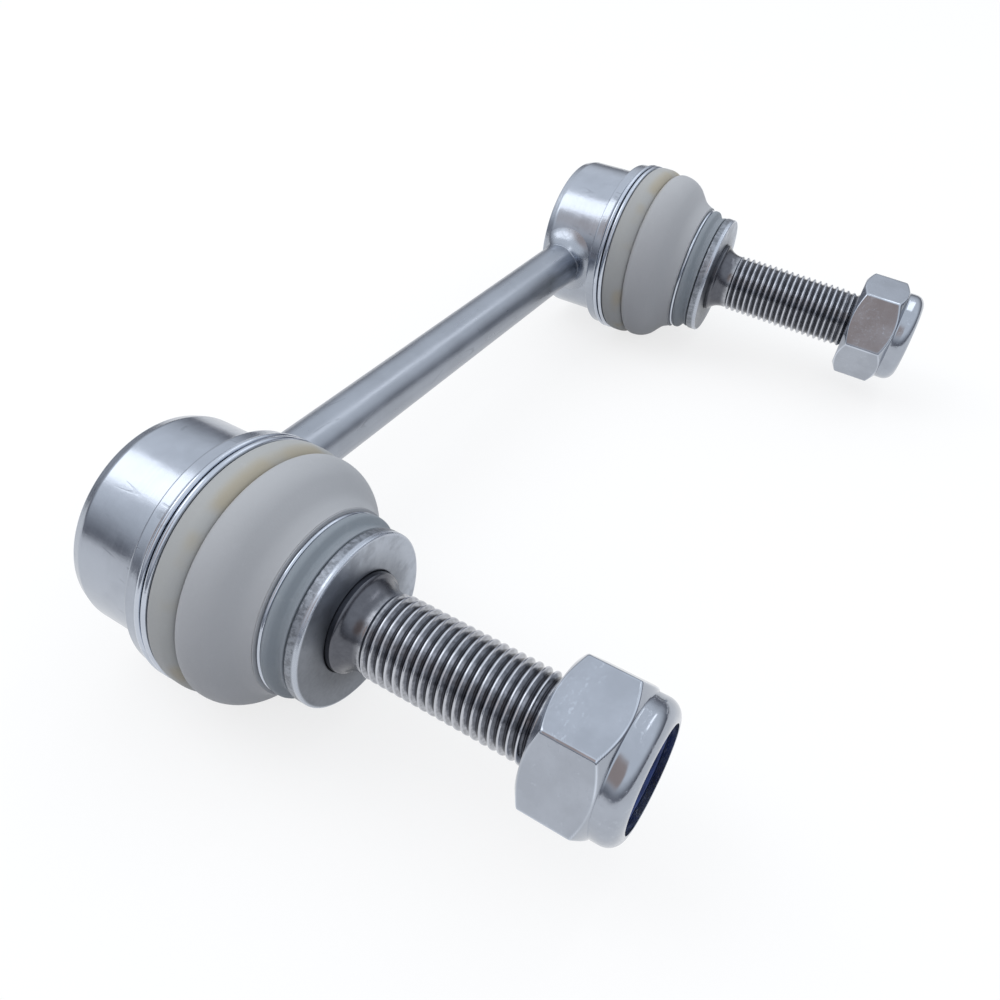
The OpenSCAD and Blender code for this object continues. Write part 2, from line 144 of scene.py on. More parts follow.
class LinkSizes(bpy.types.PropertyGroup):
    """Sizes that the frame's boxes don't give."""

    rod_height: length("Rod height", "Height of the rod's axis over the back", 5.7)
    weld_radius: length("Weld radius", "Radius of the concave welds", 3.0)
    barrel_radius: length("Barrel radius", "Radius of the housing's barrel", 16.0)
    flange_height: length("Flange height", "Flange's lower edge over the back", 12.52)
    groove_height: length("Groove height", "Height of the boot's groove over the back", 14.52)
    groove_radius: length("Groove radius", "Radius of the boot's groove", 15.2)
    mouth_radius: length("Mouth radius", "Radius of the housing's mouth round the neck", 8.8)
    lip_radius: length("Lip radius", "Radius of the opening in the rolled back lip", 12.6)
    back_bevel: length("Back bevel", "Bevel round the back edge of the barrel", 0.5)
    back_taper: length("Back taper", "Length of that bevel along the barrel", 1.6)
    gap: length("Gap", "Gap between pieces that are pressed together", 0.02)
    dish_depth: length("Dish depth", "Depth of the dish in the closing plate", 0.5)
    ring_wire: length("Ring wire", "Wire of the ring that clamps the boot", 0.98)
    neck_wire: length("Neck wire", "Wire of the ring round the boot's neck", 0.7)
    bead_radius: length("Bead radius", "Radius of the boot's bead under the ring", 17.35)
    low_lobe: length("Lower lobe", "Radius of the boot's lower lobe", 18.4)
    top_lobe: length("Upper lobe", "Radius of the boot's upper lobe", 18.1)
    fold: length("Fold", "Radius at the fold between the lobes", 17.0)
    low_lobe_height: length("Lower lobe height", "Height of the lower lobe over the ring", 4.1)
    curl: length("Curl", "Height of the curl at the foot of the upper lobe", 1.4)
    shoulder: length("Shoulder", "Radius of the upper lobe's shoulder", 5.0)
    flare: length("Flare", "Width of the flared rim under the neck ring", 0.35)
    lip_low: length("Lip foot", "Radius of the boot's lip at the neck ring", 13.2)
    lip_bead: length("Lip bead", "Height of the bead on the lip over the neck ring", 0.9)
    lip_hollow: length("Lip hollow", "Depth of the hollow over that bead", 0.4)
    lip_top: length("Lip top", "Radius of the boot's lip at the washer", 12.4)
    boot_wall: length("Boot wall", "Wall of the boot", 1.5)
    collar_radius: length("Collar radius", "Radius of the stud's collar in the boot's lip", 9.0)
    collar_height: length("Collar height", "Height of the stud's collar", 4.9)
    neck_radius: length("Neck radius", "Radius of the neck over the ball", 4.6)
    ball_radius: length("Ball radius", "Radius of the ball", 8.0)
    base_radius: length("Base radius", "Radius of the stud's base in the washer", 7.2)
    base_stand: length("Base height", "Height of the stud's base over the washer", 0.7)
    base_fillet: length("Base fillet", "Fillet from the base to the relief", 3.6)
    relief_radius: length("Relief radius", "Radius of the plain relief under the thread", 5.7)
    relief: length("Relief length", "From the base to the first full thread", 3.1)
    thread_radius: length("Thread radius", "Radius over the thread's crests", 6.0)
    pitch: length("Thread pitch", "Travel of the nut in one turn", 1.25)
    grip: length("Grip length", "Length of full thread", 24.0)
    lead_radius: length("Lead radius", "Radius of the lead thread at the tip", 5.75)
    across_flats: length("Across flats", "Width across the nut's flats", 19.0)
    hexagon: length("Hexagon height", "Height of the nut's hexagon", 9.2)
    low_chamfer: angle("Lower chamfer", "Chamfer at the hexagon's bearing face", 34)
    top_chamfer: angle("Upper chamfer", "Chamfer under the nut's collar", 36)
    nut_collar: length("Nut collar", "Radius of the collar over the hexagon", 9.2)
    nut_round: length("Nut round", "Radius of the collar's rounded top", 2.2)
    nut_mouth: length("Nut mouth", "Radius of the opening in the nut's top", 6.9)
    near_nut_turn: angle("Near nut turn", "Turn of the near nut about its stud", 10)
    far_nut_turn: angle("Far nut turn", "Turn of the far nut about its stud", 0)


class LinkColours(bpy.types.PropertyGroup):
    """Colours of the link's finishes and of the floor."""

    zinc: colour("Zinc", "Bright zinc plate of the metal pieces", (0.39, 0.42, 0.475))
    # Also a painted shade: this colour fills the thread's roots for the shade between the flanks.
    phosphate: colour("Phosphate", "Dark oiled thread roots", (0.045, 0.047, 0.056))
    crest: colour("Crest", "Rubbed crests of the thread", (0.54, 0.555, 0.60))
    boot: colour("Boot", "Grey elastomer of the boot's upper lobe", (0.43, 0.44, 0.46))
    ivory: colour("Ivory", "Warmer tone of the boot's lower lobe", (0.405, 0.413, 0.408))
    # Partly painted shade: bluer than the boot, and darker for the shade under the washer.
    lip: colour("Lip", "Bluer tone of the boot's lip", (0.24, 0.272, 0.305))
    stain: colour("Stain", "Amber stain by the boot's fold", (0.40, 0.34, 0.22))
    nylon: colour("Nylon", "Navy nylon of the locknut's insert", (0.010, 0.026, 0.110))
    acetal: colour("Acetal", "Plastic of the ball seat", (0.62, 0.60, 0.53))
    floor: colour("Floor", "Floor, for the light that it throws back", (0.46, 0.46, 0.47))


class StageSettings(bpy.types.PropertyGroup):
    """Camera and light of the stage."""

    lens: bpy.props.FloatProperty(
        name="Lens", description="Focal length on a 36 mm sensor", default=32.306, unit="CAMERA"
    )
    eye: vector("Eye", "Place of the camera", "TRANSLATION", (-0.12216, -0.04877, 0.10722))
    right: vector("Right", "Direction to the right of the picture", "DIRECTION",
                  (0.527347, -0.847941, 0.053865))
    down: vector("Down", "Direction to the foot of the picture", "DIRECTION",
                 (-0.530209, -0.377957, -0.758964))
    sky: colour("Sky", "Even light of the room overhead", (0.90, 0.945, 1.0))
    horizon: colour("Horizon", "Light of the room at the floor's height", (0.150, 0.156, 0.185))
    stand: colour("Stand", "Dim warm light on the camera's side of the room", (0.46, 0.36, 0.32))
    stand_way: vector("Stand way", "Direction to that side of the room", "DIRECTION",
                      (-0.758, 0.080, 0.648))
    room_light: bpy.props.FloatProperty(
        name="Room light", description="Strength of the light of the room", default=1.12, min=0.0
    )


def sizes():
    """The scene's sizes."""
    return bpy.context.scene.link_sizes


def colours():
    """The scene's colours."""
    return bpy.context.scene.link_colours


def housing_place(end):
    """Axes of one housing: X along the rod, Z along the housing's axis towards the stud."""
    swivel = JOINTS[end + "_ball_swivel"]
    up = np.array(swivel["axis"])
    return Place(np.array(swivel["pos_m"]), np.array([ROD_WAY, np.cross(up, ROD_WAY), up]))


def stud_place(end):
    """The housing's axes, turned by the smallest turn that brings their Z onto the stud's axis."""
    home = housing_place(end)
    axis = np.array(JOINTS[end + "_ball_spin"]["axis"])
    turn = np.cross(home.axes[2], axis)
    once = np.cross(turn, home.axes)
    twice = np.cross(turn, once)
    return Place(home.origin, home.axes + once + twice / (1 + home.axes[2] @ axis))


def set_down(points, place):
    """Points of a piece's own axes, in the frame."""
    return place.origin + points @ place.axes


def ease(t):
    """Smooth step: 3 t squared less 2 t cubed, held between 0 and 1."""
    t = np.clip(t, 0, 1)
    return t * t * (3 - 2 * t)


def softened(corners, cuts, steps=5, closed=True, beyond=1.5):
    """Section with soft corners. Each corner gives way to a quadratic curve that starts and ends
    its cut in millimetres away from it, with one more point a little beyond on either side that
    keeps the flats flat."""
    corners = np.array(corners, float)
    cut = np.array(cuts)[:, None] * MM
    back = np.roll(corners, 1, 0) - corners
    ahead = np.roll(corners, -1, 0) - corners
    back /= np.linalg.norm(back, axis=1, keepdims=True)
    ahead /= np.linalg.norm(ahead, axis=1, keepdims=True)
    t = np.linspace(0, 1, steps)[None, :, None]
    enter, leave = corners + back * cut, corners + ahead * cut
    curve = (1 - t) ** 2 * enter[:, None] + 2 * t * (1 - t) * corners[:, None]
    curve = curve + t**2 * leave[:, None]
    before = (corners + beyond * back * cut)[:, None]
    after = (corners + beyond * ahead * cut)[:, None]
    points = np.concatenate([before, curve, after], 1)
    if closed:
        return points.reshape(-1, 2)
    return np.concatenate([corners[:1], points[1:-1].reshape(-1, 2), corners[-1:]])


def bow(radius, height, half_radius, half_height, start, stop, steps=12):
    """Points of an elliptic arc in the plane of radius and height, between two angles in
    degrees."""
    a = np.radians(np.linspace(start, stop, steps))
    return np.stack([radius + half_radius * np.cos(a), height + half_height * np.sin(a)], 1)


def full_turn(columns):
    """Even angles round a full turn."""
    return TURN * np.arange(columns) / columns


def around(radius, a, height):
    """Grid of points about Z: radius times the angle's cosine and sine, and the height."""
    return np.stack([radius * np.cos(a), radius * np.sin(a), height + 0 * a], -1)


def turned(section, columns=MEDIUM):
    """Grid of a half section turned about Z."""
    return around(section[:, :1], full_turn(columns), section[:, 1:])


def thread_depth(a, height, pitch, soft=0.25):
    """Depth of a right-hand thread, from 0 on its crests to 1 in its roots: a straight flank on the
    way from the nearest crest, which climbs by one pitch in one turn, with a share of a smooth step
    that softens its corners."""
    way = np.abs((height / pitch - a / TURN + 0.5) % 1 - 0.5)
    flank = np.clip((way - CREST) / (1 / 2 - CREST - ROOT), 0, 1)
    return (1 - soft) * flank + soft * ease(flank)


def quads(rows, columns, ring_rows):
    """Corner numbers of the faces between neighbours on a grid whose columns close on themselves,
    and whose rows do too where ring_rows is set."""
    i = np.arange(rows if ring_rows else rows - 1)[:, None]
    j = np.arange(columns)[None, :]
    here, ahead, beside = i * columns, (i + 1) % rows * columns, (j + 1) % columns
    corners = [here + j, here + beside, ahead + beside, ahead + j]
    return np.stack(corners, -1).reshape(-1, 4).tolist()


def add_piece(name, grid, place, material, body, node, closed=True, marks=None):
    """Puts a grid into a mesh that replaces a node. An open grid starts and ends in a pole: its
    first and last rows shrink to one point each. The points of the piece's own axes stay on it as
    the attribute turning, and marks adds more values per point."""
    rows, columns, _ = grid.shape
    if closed:
        points = grid.reshape(-1, 3)
        faces = quads(rows, columns, True)
        pick = np.arange(rows * columns)
    else:
        middle = grid[1:-1].reshape(-1, 3)
        points = np.concatenate([middle, [grid[0].mean(0)], [grid[-1].mean(0)]])
        faces = quads(rows - 2, columns, False)
        j = np.arange(columns)
        first, last = len(middle), len(middle) + 1
        top = (rows - 3) * columns
        faces += np.stack([(j + 1) % columns, j, first + 0 * j], 1).tolist()
        faces += np.stack([top + j, top + (j + 1) % columns, last + 0 * j], 1).tolist()
        pick = np.concatenate([np.arange(columns, (rows - 1) * columns), [0, rows * columns - 1]])
    mesh = bpy.data.meshes.new(name)
    mesh.from_pydata(set_down(points, place).tolist(), [], faces)
    mesh.polygons.foreach_set("use_smooth", np.ones(len(mesh.polygons), bool))
    turning = mesh.attributes.new("turning", "FLOAT_VECTOR", "POINT")
    turning.data.foreach_set("vector", points.ravel() / MM)
    for mark, values in (marks or {}).items():
        each = np.broadcast_to(values, (rows, columns)).ravel()[pick]
        more = mesh.attributes.new(mark, "FLOAT", "POINT")
        more.data.foreach_set("value", each.astype(np.float32))
    if mesh.validate():
        raise RuntimeError(name + " has faces that aren't sound")
    mesh.materials.append(material)
    piece = bpy.data.objects.new(name, mesh)
    bpy.context.scene.collection.objects.link(piece)
    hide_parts(node)
    if body:
        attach(piece, body)
    return piece


class Nodes:
    """A node tree, with short calls for the nodes that the finishes and the room share."""

    def __init__(self, tree):
        self.nodes = tree.nodes
        self.links = tree.links

    def add(self, kind, inputs=None, **settings):
        """A node with its settings, and inputs that are either values or other nodes' outputs."""
        node = self.nodes.new(kind)
        for key, value in settings.items():
            setattr(node, key, value)
        for key, value in (inputs or {}).items():
            if isinstance(value, bpy.types.NodeSocket):
                self.links.new(value, node.inputs[key])
            else:
                node.inputs[key].default_value = value
        return node

    def part(self, vector, axis):
        """One coordinate of a vector."""
        return self.add("ShaderNodeSeparateXYZ", {0: vector}).outputs[axis]

    def vector(self, operation, a, b=(0, 0, 0)):
        """Outputs of a sum of vectors."""
        return self.add("ShaderNodeVectorMath", {0: a, 1: b}, operation=operation).outputs

    def radius(self, vector):
        """Distance from the axis."""
        return self.vector("LENGTH", self.vector("MULTIPLY", vector, (1, 1, 0))[0])["Value"]

    def noise(self, vector, stretch, detail=3.0, roughness=0.55):
        """Noise with so many waves to the millimetre, along each axis or along all."""
        if not isinstance(stretch, tuple):
            stretch = (stretch, stretch, stretch)
        scaled = self.vector("MULTIPLY", vector, stretch)[0]
        settings = {"Vector": scaled, "Scale": 1.0, "Detail": detail, "Roughness": roughness}
        return self.add("ShaderNodeTexNoise", settings).outputs["Fac"]

    def step(self, value, low, high, to_low=0.0, to_high=1.0):
        """Smooth step of a value between two bounds."""
        settings = {"Value": value, 1: low, 2: high, 3: to_low, 4: to_high}
        node = self.add("ShaderNodeMapRange", settings, interpolation_type="SMOOTHSTEP")
        return node.outputs["Result"]

    def math(self, operation, a, b=0.0):
        """Result of a sum of two values."""
        return self.add("ShaderNodeMath", {0: a, 1: b}, operation=operation).outputs[0]

    def times(self, a, b):
        """One value times another."""
        return self.math("MULTIPLY", a, b)

    def rest(self, value):
        """What a share leaves of the whole."""
        return self.math("SUBTRACT", 1.0, value)

    def mix(self, factor, a, b):
        """Mix of two colours."""
        shades = [x if isinstance(x, bpy.types.NodeSocket) else (*x, 1.0) for x in (a, b)]
        node = self.add("ShaderNodeMix", {0: factor, 6: shades[0], 7: shades[1]}, data_type="RGBA")
        return node.outputs[2]

    def tones(self, factor, rgb, low, high):
        """Mix of two tones of one colour."""
        return self.mix(factor, shade(rgb, low), shade(rgb, high))


class Finish(Nodes):
    """A material whose metal or skin is the same all over, and whose wear follows the piece."""

    def __init__(self, name, **constants):
        self.material = bpy.data.materials.new(name)
        self.material.use_nodes = True
        super().__init__(self.material.node_tree)
        self.shader = self.nodes["Principled BSDF"]
        for socket, value in constants.items():
            self.shader.inputs[socket.replace("_", " ")].default_value = value

    def own(self, name="turning"):
        """The piece's own coordinates, in millimetres about its axis, or another attribute."""
        node = self.add("ShaderNodeAttribute", attribute_name=name)
        return node.outputs["Vector" if name == "turning" else "Fac"]

    def scratches(self, vector, stretch):
        """Short thin scratches: lines where a stretched noise crosses its middle, kept where
        another noise is high."""
        off_middle = self.math("SUBTRACT", self.noise(vector, stretch, 0.0), 0.5)
        line = self.step(self.math("ABSOLUTE", off_middle), 0.008, 0.022, 1.0, 0.0)
        kept = self.step(self.noise(vector, 0.30, 2.0), 0.57, 0.64)
        return self.times(line, kept)

    def wear(self, base, rough, bumps):
        """Links colour, roughness and a row of bumps, each with its height in millimetres."""
        self.links.new(base, self.shader.inputs["Base Color"])
        self.links.new(rough, self.shader.inputs["Roughness"])
        normal = {}
        for height, depth in bumps:
            settings = {"Height": height, "Strength": 1.0, "Distance": depth * MM, **normal}
            normal = {"Normal": self.add("ShaderNodeBump", settings).outputs["Normal"]}
        self.links.new(normal["Normal"], self.shader.inputs["Normal"])
        return self.material


def shade(rgb, share):
    """A colour made lighter or darker."""
    return tuple(min(1.0, c * share) for c in rgb)


def zinc_finish(name, grain, rough=(0.15, 0.26), tone=1.0, gap_shade=None):
    """Bright zinc: cloudy plate, fine tool lines stretched by grain, faint waves and a few thin
    scratches. The gap shade gives the radii between which the metal is painted darker towards
    the axis, a painted shade for the gaps between turns of wire."""
    f = Finish(name, Metallic=1.0)
    zinc, own = colours().zinc, f.own()
    cloud = f.noise(own, 0.16, 4.0)
    lines = f.noise(own, grain, 2.0, 0.7)
    waves = f.noise(own, (0.45, 0.45, 0.18))
    grit = f.noise(own, 1.1)
    scratch = f.scratches(own, (0.40, 0.40, 0.07))
    base = f.tones(f.step(cloud, *NOISE_MID), zinc, 0.95 * tone, 1.05 * tone)
    base = f.mix(f.times(scratch, 0.3), base, shade(zinc, 0.55 * tone))
    # Painted shade: the metal darkens towards the axis between the gap shade's radii, standing in
    # for the shade in the gaps between turns of wire.
    if gap_shade is not None:
        base = f.mix(f.step(f.radius(own), *gap_shade), shade(zinc, 0.05), base)
    worn = f.math("ADD", f.times(lines, 0.5), f.times(cloud, 0.5))
    bumps = [(lines, 0.008), (waves, 0.022), (grit, 0.005), (f.rest(scratch), 0.006)]
    return f.wear(base, f.step(worn, *NOISE_WIDE, *rough), bumps)


def barrel_stop(half, x, y):
    """Distance from the link's middle to a barrel, at two distances from the rod's axis: half the
    link's length less the root of the barrel's radius squared less x squared. That radius is full
    above the back bevel, and less in a straight line within it."""
    s = sizes()
    within = np.clip(1 - (s.rod_height + y) / s.back_taper, 0, 1)
    return half - np.sqrt((s.barrel_radius - s.back_bevel * within) ** 2 - x**2)


class LINK_OT_rod(bpy.types.Operator):
    """Drawn rod with its ends cut to the barrels, and the welds that join it to them"""

    bl_idname = "stabilizer_link.rod"
    bl_label = "Rod and welds"

    def execute(self, context):
        low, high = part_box("rod")
        radius = (high.z - low.z) / 2
        half = JOINTS["far_ball_swivel"]["pos_m"][0]
        home = housing_place("near")
        axis_y = home.origin[1] - HOUSING.low - sizes().rod_height
        axes = np.array([[0, 0, 1.0], [0, -1.0, 0], [1.0, 0, 0]])
        place = Place(np.array([0, axis_y, home.origin[2]]), axes)
        bright = zinc_finish("drawn_zinc", (1.6, 1.6, 0.03), (0.26, 0.38), 0.86)
        self.rod(place, half, radius, bright)
        run_out = zinc_finish("weld_zinc", 0.5, (0.24, 0.34), 0.95)
        for end, side in zip(ENDS, (-1, 1)):
            self.weld(end, side, place, half, radius, run_out)
        return {"FINISHED"}

    def rod(self, place, half, radius, finish, rows=60):
        """Cylinder about the rod's axis. Each point of its ends stops at the barrel."""
        a = full_turn(COARSE)
        x, y = radius * np.cos(a), radius * np.sin(a)
        way = np.linspace(-1, 1, rows)[:, None]
        side = np.stack([x + 0 * way, y + 0 * way, way * barrel_stop(half, x, y)], -1)
        cap = around(0, a, half - sizes().barrel_radius)[None]
        grid = np.concatenate([cap * [1, 1, -1], side, cap])
        add_piece("rod_bar", grid, place, finish, "link", "rod", closed=False)

    def weld(self, end, side, place, half, radius, finish):
        """Concave quarter circle between rod and barrel, carried round the rod. Its width is held
        back where the housing's back or flange is nearer than the weld's radius, by an inverse
        power mean of the two. Its edge dips into the barrel."""
        s = sizes()
        back_gap, flange_gap, sunk = 0.25 * MM, 0.2 * MM, 0.3 * MM
        dip, dip_angle = 0.08 * MM, 0.15
        power, least = 3.0, 1e-3
        a = full_turn(COARSE)
        to_flange = np.sin(a)
        room_back = (s.rod_height - back_gap) / np.maximum(-to_flange, least)
        room_flange = s.flange_height - flange_gap - s.rod_height
        room_flange = room_flange / np.maximum(to_flange, least)
        room = np.minimum(room_back, room_flange) - radius
        wide = (s.weld_radius**-power + room**-power) ** (-1 / power)
        t = np.linspace(0, np.pi / 2, 14)[:, None]
        under = np.full((2, 1), radius - sunk) + 0 * a
        out = np.concatenate([radius + wide * (1 - np.sin(t)), under])
        sink = dip * np.exp(-((t / dip_angle) ** 2))
        rise = np.concatenate([wide * (1 - np.cos(t)) - sink, np.array([[1.0], [0.0]]) * wide])
        x, y = out * np.cos(a), out * np.sin(a)
        grid = np.stack([x, y, side * (barrel_stop(half, x, y) - rise)], -1)
        if side > 0:
            grid = grid[::-1]
        add_piece(end + "_weld_fillet", grid, place, finish, "link", end + "_weld")


class LINK_OT_housings(bpy.types.Operator):
    """Turned housings with flanges and rolled lips, closing plates, and the ball seats' finish"""

    bl_idname = "stabilizer_link.housings"
    bl_label = "Housings"

    def execute(self, context):
        barrel, plate = turned(self.barrel(), FINE), turned(self.plate())
        turned_zinc = zinc_finish("turned_zinc", (0.05, 0.05, 6.0))
        pressed_zinc = zinc_finish("pressed_zinc", 0.9, (0.28, 0.42), 0.95)
        acetal = seat_finish()
        for end in ENDS:
            place = housing_place(end)
            add_piece(end + "_barrel", barrel, place, turned_zinc, "link",
                      end + "_housing")
            add_piece(end + "_back_plate", plate, place, pressed_zinc, "link",
                      end + "_closing_plate", closed=False)
            seat = frame["nodes"][end + "_ball_seat"]
            seat.data.materials.clear()
            seat.data.materials.append(acetal)
        return {"FINISHED"}

    def barrel(self, mouth_taper=1.1 * MM):
        """Section of the housing, round its outside from the back and back down its inside."""
        s = sizes()
        back = HOUSING.low
        flange, groove = back + s.flange_height, back + s.groove_height
        corners = [
            (s.lip_radius, back), (s.barrel_radius - s.back_bevel, back),
            (s.barrel_radius, back + s.back_taper), (s.barrel_radius, flange),
            (HOUSING.radius, flange), (HOUSING.radius, groove),
            (s.groove_radius, groove), (s.groove_radius, HOUSING.high),
            (s.mouth_radius, HOUSING.high), (s.mouth_radius - mouth_taper, SEAT.high),
            (SEAT.radius + s.gap, SEAT.high), (SEAT.radius + s.gap, PLATE.high),
            (PLATE.radius + s.gap, PLATE.high), (PLATE.radius + s.gap, PLATE.low),
            (s.lip_radius, PLATE.low),
        ]
        cuts = [0.2, 0.2, 0.25, 0.25, 0.3, 0.3, 0.2, 0.3, 0.3, 0.2, 0.2, 0.2, 0.2, 0.15, 0.15]
        return softened(corners, cuts)

    def plate(self, land=2.5 * MM, slope=1.2 * MM):
        """Section of the closing plate, dished within a flat land."""
        s = sizes()
        dish = PLATE.low + s.dish_depth
        inner = s.lip_radius - land
        corners = [(0, dish), (inner - slope, dish), (inner, PLATE.low),
                   (PLATE.radius, PLATE.low), (PLATE.radius, PLATE.high), (0, PLATE.high)]
        return softened(corners, [0, 0.4, 0.4, 0.2, 0.2, 0], closed=False)


def seat_finish():
    """Acetal: a pale plastic with faint flow clouds and a fine skin."""
    f = Finish("seat_acetal", Specular_IOR_Level=0.45)
    where = f.add("ShaderNodeTexCoord").outputs["Object"]
    cloud = f.noise(where, 120)
    skin = f.noise(where, 2400)
    base = f.tones(cloud, colours().acetal, 0.94, 1.06)
    return f.wear(base, f.step(skin, *NOISE_WIDE, 0.38, 0.5), [(skin, 0.01)])


class LINK_OT_rings(bpy.types.Operator):
    """Two-turn wire rings that clamp the boots, and the single rings round their necks"""

    bl_idname = "stabilizer_link.rings"
    bl_label = "Rings"

    def execute(self, context):
        s = sizes()
        clamp_wire = self.wire("clamp_wire", RING.radius, s.ring_wire)
        neck_wire = self.wire("neck_wire", NECK_RING.radius, s.neck_wire)
        for end in ENDS:
            self.clamp(end, clamp_wire)
            self.neck(end, neck_wire)
        return {"FINISHED"}

    def wire(self, name, radius, thick):
        """Bright wire with a painted shade from the middle of its section inwards, standing in for
        the shade in the gaps between its turns.
        """
        gap_shade = (radius - np.array([0.75, 0.35]) * thick) / MM
        return zinc_finish(name, 0.4, (0.10, 0.20), 1.3, gap_shade)

    def clamp(self, end, finish, jog=np.radians(16), where=np.radians(300), share=0.47):
        """Wire carried twice round: on the first turn at one height, on the second a wire higher,
        with a smooth step between them. Its ends are drawn in to domes. The share of the wire that
        is its radius is just under a half, so that the turns lie apart."""
        wire = share * sizes().ring_wire
        radius = RING.radius - wire
        low, high = RING.low + wire, RING.high - wire
        start = 1.6 * jog
        way = np.linspace(start, 2 * TURN - start, 400)
        height = low + (high - low) * ease((way - TURN + jog) / (2 * jog))
        a = full_turn(14)[None, :]
        tip = np.minimum(way - way[0], way[-1] - way) * radius / wire
        thick = wire * np.sqrt(np.clip(1 - (1 - np.minimum(tip, 1)) ** 2, 0, 1))[:, None]
        across = radius + thick * np.cos(a)
        grid = around(across, (where + way)[:, None], height[:, None] - thick * np.sin(a))
        add_piece(end + "_clamp_wire", grid, housing_place(end), finish, "link",
                  end + "_boot_ring", closed=False)

    def neck(self, end, finish, steps=20):
        """Circle of wire turned about the stud's axis."""
        wire = sizes().neck_wire / 2
        last = 360 - 360 / steps
        section = bow(NECK_RING.radius - wire, NECK_RING.low + wire, wire, wire, 0, last, steps)
        add_piece(end + "_neck_wire", turned(section), stud_place(end), finish, end + "_tilt",
                  end + "_neck_ring")


class LINK_OT_boots(bpy.types.Operator):
    """Rubber boots with two lobes and a lip, bent between the housing and the leaning stud"""

    bl_idname = "stabilizer_link.boots"
    bl_label = "Boots"

    def execute(self, context):
        section = self.section()
        for end in ENDS:
            self.boot(end, section)
        return {"FINISHED"}

    def section(self, gap=0.05 * MM, groove_depth=0.8 * MM):
        """Outside of the boot from the bead up over the lobes to the lip, and back down its
        inside."""
        s = sizes()
        foot = RING.high + gap / 2
        quarter = s.low_lobe_height / 4
        belly = 0.6 * quarter
        fold = foot + s.low_lobe_height
        waist = fold - 2 * quarter
        widest = fold + s.curl
        neck_low, neck_high = NECK_RING.low - gap, NECK_RING.high + gap
        groove = s.lip_low - groove_depth
        bead = neck_high + s.lip_bead
        hollow = (bead + BOOT.high - 0.4 * MM) / 2
        centre = s.top_lobe - s.shoulder
        inner = s.shoulder - s.boot_wall
        edge = np.array([centre, widest]) + s.shoulder * np.sqrt(0.5)
        rim = np.array([s.lip_low + s.flare, neck_low - s.flare])
        dip = edge + 0.65 * (rim - edge) - s.flare
        seal = s.collar_radius + gap
        seat, seat_foot = s.groove_radius + gap, HOUSING.high - 0.8 * MM
        lip = [
            edge, dip, rim, (rim[0], neck_low), (groove, neck_low), (groove, neck_high),
            (s.lip_low, neck_high), (s.lip_low, bead), (s.lip_top - s.lip_hollow, hollow),
            (s.lip_top, BOOT.high - 0.1 * MM), (seal, BOOT.high),
        ]
        cuts = [0, 0.9, 0.16, 0.12, 0.12, 0.12, 0.25, 0.35, 0.35, 0.3, 0]
        outside = [
            [(s.bead_radius, BOOT.low), (s.bead_radius, foot)],
            bow(s.low_lobe - belly, foot + quarter, belly, quarter, -88, -6),
            bow(s.fold, waist, s.low_lobe - s.fold, 2 * quarter - gap, 0, 88, 20),
            bow(s.fold, widest, s.top_lobe - s.fold, s.curl, -86, -8, 16),
            bow(centre, widest, s.shoulder, s.shoulder, 0, 45, 16),
            softened(lip, cuts, closed=False)[1:],
        ]
        inside = [
            [(seal, neck_low), (s.lip_low - s.boot_wall, neck_low - s.boot_wall)],
            bow(centre, widest, inner, inner, 45, 0),
            bow(s.fold - s.boot_wall, widest, s.top_lobe - s.fold, s.curl, -8, -90),
            bow(s.fold - s.boot_wall, waist, s.low_lobe - s.fold, 2 * quarter - gap, 88, 0),
            [(s.groove_radius + 1.2 * MM, HOUSING.high), (seat, seat_foot), (seat, BOOT.low)],
        ]
        return np.concatenate([np.asarray(points, float) for points in outside + inside])

    def boot(self, end, section, columns=144, straight=1e-9):
        """The section turned about the housing's axis, each point then turned about the ball's
        centre by its share of the stud's lean: none at the ring, all at the neck, by a smooth step
        between."""
        home, stud = housing_place(end), stud_place(end)
        low, high = RING.high, NECK_RING.low
        shape = turned(section, columns)
        axis = home.axes @ stud.axes[2]
        aside = np.hypot(axis[0], axis[1])
        if axis[2] < 1 - straight:
            share = ease((section[:, 1] - low) / (high - low))[:, None, None]
            lean = np.arccos(np.clip(axis[2], -1, 1)) * share
            way = np.array([-axis[1], axis[0], 0]) / aside
            along = np.sum(shape * way, -1, keepdims=True) * way
            shape = along + (shape - along) * np.cos(lean) + np.cross(way, shape) * np.sin(lean)
        piece = add_piece(end + "_rubber_boot", shape, home, boot_finish(end), None, end + "_boot",
                          marks={"height": section[:, 1:] / MM})
        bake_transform(piece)


def boot_finish(end):
    """Matte elastomer: ivory on the lower lobe, grey on the upper, bluer on the lip and darker
    there as a painted shade under the washer, with an amber stain along the fold, clouds and dust."""
    c = colours()
    f = Finish(end + "_elastomer", Specular_IOR_Level=0.32, Sheen_Weight=0.12, Sheen_Roughness=0.5)
    own, height = f.own(), f.own("height")
    fold = (RING.high + sizes().low_lobe_height) / MM
    cloud = f.noise(own, (0.12, 0.12, 0.3), 4.0)
    skin = f.noise(own, 3.0)
    dust = f.step(f.noise(own, 0.7, 6.0, 0.7), 0.55, 0.75)
    upper = f.step(height, fold - 0.4, fold + 0.8)
    base = f.mix(upper, c.ivory, c.boot)
    # Partly painted shade: the lip is bluer, and darker than the boot for the shade under the
    # washer.
    base = f.mix(f.step(height, NECK_RING.low / MM, NECK_RING.high / MM), base, c.lip)
    near_fold = f.times(f.step(height, fold - 2.6, fold - 0.6), f.rest(upper))
    patch = f.step(f.noise(own, 0.09, 2.0), 0.50, 0.66)
    base = f.mix(f.times(near_fold, f.times(patch, 0.65)), base, c.stain)
    base = f.mix(f.times(f.step(cloud, 0.35, 0.7), 0.16), base, shade(c.boot, 0.85))
    base = f.mix(f.times(dust, 0.12), base, shade(c.boot, 1.3))
    return f.wear(base, f.step(skin, *NOISE_WIDE, 0.52, 0.66), [(skin, 0.02), (cloud, 0.05)])


